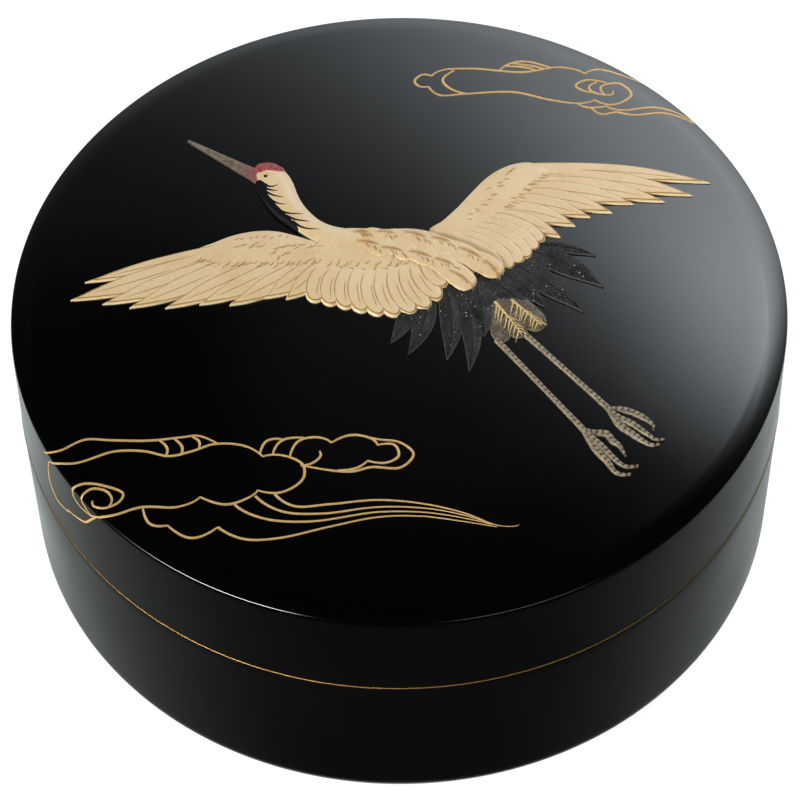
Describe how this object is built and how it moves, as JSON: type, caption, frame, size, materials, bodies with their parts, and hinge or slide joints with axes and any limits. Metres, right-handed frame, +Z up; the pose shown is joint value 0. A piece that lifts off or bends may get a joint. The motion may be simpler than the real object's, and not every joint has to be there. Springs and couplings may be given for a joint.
{
  "type": "incense box",
  "caption": "Round lidded box in black lacquer; the lid lifts off an inner lip and carries a flying crane in low relief.",
  "frame": {"origin": "centre of the underside", "axes": "+Z up along the box's axis, +Y to the back; the crane's head points to -X and +Y"},
  "size_m": [0.08, 0.08, 0.0342],
  "materials": {
    "lacquer_box": "satin black lacquer on turned wood, gold on the mouth's edge",
    "lacquer_lid": "polished black lacquer on turned wood, gold on the mouth's edge",
    "crane_ivory": "raised lacquer dusted with pale ivory and gold powder, feather lines in darker gold",
    "crane_dark": "raised charcoal lacquer with fine veins and bright flecks",
    "crane_red": "raised grainy red lacquer",
    "gold": "fine gold powder in lacquer, softly shining"
  },
  "bodies": {
    "root": {"box": "lacquer_box", "lid": "lacquer_lid"}
  },
  "joints": []
}
